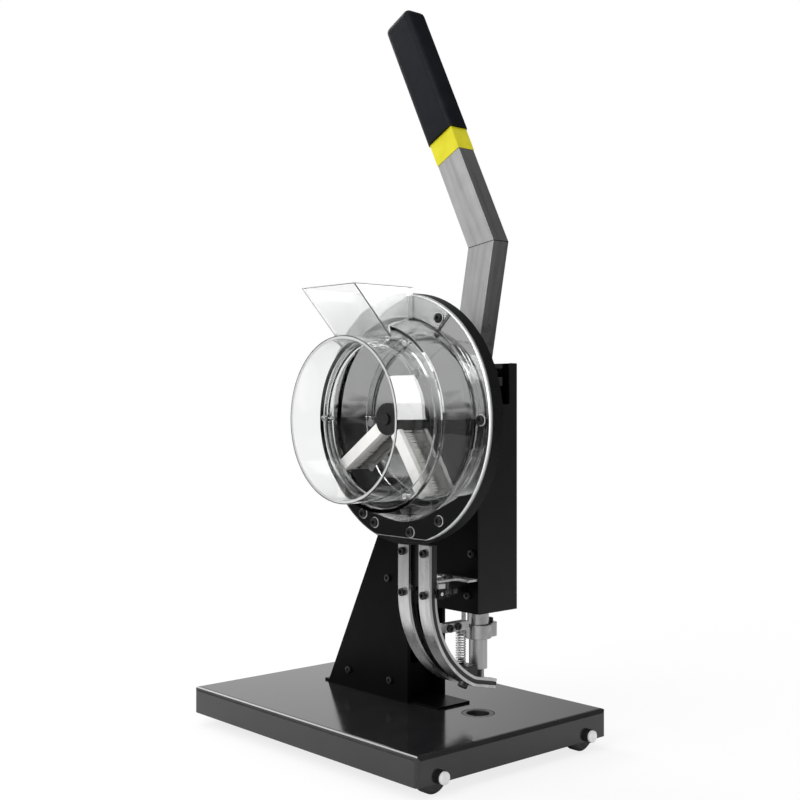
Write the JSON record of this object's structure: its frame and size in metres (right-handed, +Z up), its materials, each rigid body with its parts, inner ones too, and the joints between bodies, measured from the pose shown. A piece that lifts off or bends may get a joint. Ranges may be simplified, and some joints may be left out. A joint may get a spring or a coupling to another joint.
{
  "type": "eyelet machine",
  "caption": "Hand lever eyelet press: hollow base on wheels, black C-frame head, clear feed drum with brushes, curved steel chute, sliding punch over a die and a bent gripped lever.",
  "frame": {"origin": "on the table, under the centre of the object's bounding box", "axes": "+X from the drum's mouth through the head, +Y from the operator to the back, +Z up"},
  "size_m": [0.2656, 0.3765, 0.7075],
  "materials": {
    "pan_paint": "gloss black stove enamel",
    "frame_paint": "satin black powder coat",
    "wheel_rubber": "satin black rubber",
    "black_plastic": "matte black",
    "disc_plastic": "satin black",
    "clear_plastic": "clear acrylic",
    "bright_steel": "bright nickel",
    "plain_steel": "plain machined steel",
    "strip_steel": "bright rolled strip",
    "dark_steel": "blackened steel",
    "black_screw": "black oxide",
    "spring_steel": "bright spring wire",
    "bush_brass": "plain bronze",
    "hub_metal": "satin aluminium",
    "brush_plastic": "satin off-white",
    "bristle": "white nylon",
    "lever_steel": "bare brushed steel with mill scale",
    "yellow_tape": "gloss yellow tape",
    "grip_rubber": "dipped black rubber"
  },
  "bodies": {
    "base": {"base_pan": "pan_paint", "wheel_bolts": "bright_steel", "wheel_spacers": "black_plastic", "rear_feet": "wheel_rubber", "column_foot": "frame_paint", "side_plate_left": "frame_paint", "side_plate_right": "frame_paint", "front_cover": "frame_paint", "back_cover": "frame_paint", "tie_rods": "dark_steel", "plate_screws": "black_screw", "cover_block": "dark_steel", "ram_guides": "dark_steel", "return_spring": "spring_steel", "pivot_bushes": "bush_brass", "die_holder": "dark_steel", "die": "dark_steel", "drum_disc": "disc_plastic", "disc_posts": "plain_steel", "brush_bushes": "bush_brass", "drum_shell": "clear_plastic", "drum_neck": "clear_plastic", "neck_screws": "bright_steel", "flange_screws": "black_screw", "funnel": "clear_plastic", "chute_left": "strip_steel", "chute_right": "strip_steel", "chute_spacers": "black_plastic", "chute_screws": "black_screw", "chute_bracket": "plain_steel", "bracket_bolt": "bright_steel", "keeper_pin": "bright_steel", "spring_shelf": "plain_steel", "keeper_spring": "spring_steel"},
    "wheel_left": {"wheel_left": "wheel_rubber"},
    "wheel_right": {"wheel_right": "wheel_rubber"},
    "lever": {"lever_shaft": "plain_steel", "lever_gear": "plain_steel", "lever_cheeks": "frame_paint", "crank_pin": "plain_steel", "lever_bar": "lever_steel", "lever_pin": "dark_steel", "lever_tape": "yellow_tape", "lever_grip": "grip_rubber"},
    "ram": {"ram": "plain_steel", "ram_yoke": "dark_steel", "ram_collar": "plain_steel", "collar_screw": "black_screw", "punch_sleeve": "bright_steel", "pilot_spring": "spring_steel", "pilot_wire": "spring_steel"},
    "pilot": {"pilot_pin": "dark_steel"},
    "brush": {"brush_shaft": "plain_steel", "brush_gear": "plain_steel", "brush_hub": "hub_metal", "brush_backs": "brush_plastic", "brush_bristles": "bristle"},
    "keeper": {"keeper_left": "strip_steel", "keeper_right": "strip_steel", "keeper_bridge": "plain_steel"}
  },
  "joints": [
    {"name": "lever_swing", "type": "hinge", "parent": "base", "child": "lever", "pos_m": [0.0303, -0.06505, 0.33405], "axis": [1, 0, 0], "range_deg": [0, 70], "stiffness_Nm_per_rad": 1.5, "springref_deg": -28.65},
    {"name": "ram_slide", "type": "slide", "parent": "base", "child": "ram", "axis": [0, 0, -1], "range_m": [0, 0.036]},
    {"name": "brush_spin", "type": "hinge", "parent": "base", "child": "brush", "pos_m": [-0.0637, -0.07825, 0.3105], "axis": [1, 0, 0], "range_deg": [-87.6, 0]},
    {"name": "pilot_slide", "type": "slide", "parent": "ram", "child": "pilot", "axis": [0, 0, 1], "range_m": [0, 0.01], "stiffness_N_per_m": 400, "springref_m": -0.006, "deforming": ["pilot_spring"]},
    {"name": "keeper_swing", "type": "hinge", "parent": "base", "child": "keeper", "pos_m": [-0.0387, -0.07825, 0.157], "axis": [0, -1, 0], "range_deg": [0, 2], "stiffness_Nm_per_rad": 2, "springref_deg": -5.73, "deforming": ["keeper_spring"]},
    {"name": "wheel_left_spin", "type": "hinge", "parent": "base", "child": "wheel_left", "pos_m": [-0.0822, -0.13375, 0.016], "axis": [0, 1, 0], "continuous": true},
    {"name": "wheel_right_spin", "type": "hinge", "parent": "base", "child": "wheel_right", "pos_m": [0.1068, -0.13375, 0.016], "axis": [0, 1, 0], "continuous": true}
  ],
  "couplings": [
    {"joint": "ram_slide", "follows": "lever_swing", "m_per_rad": 0.0294},
    {"joint": "brush_spin", "follows": "lever_swing", "ratio": -1.25}
  ]
}
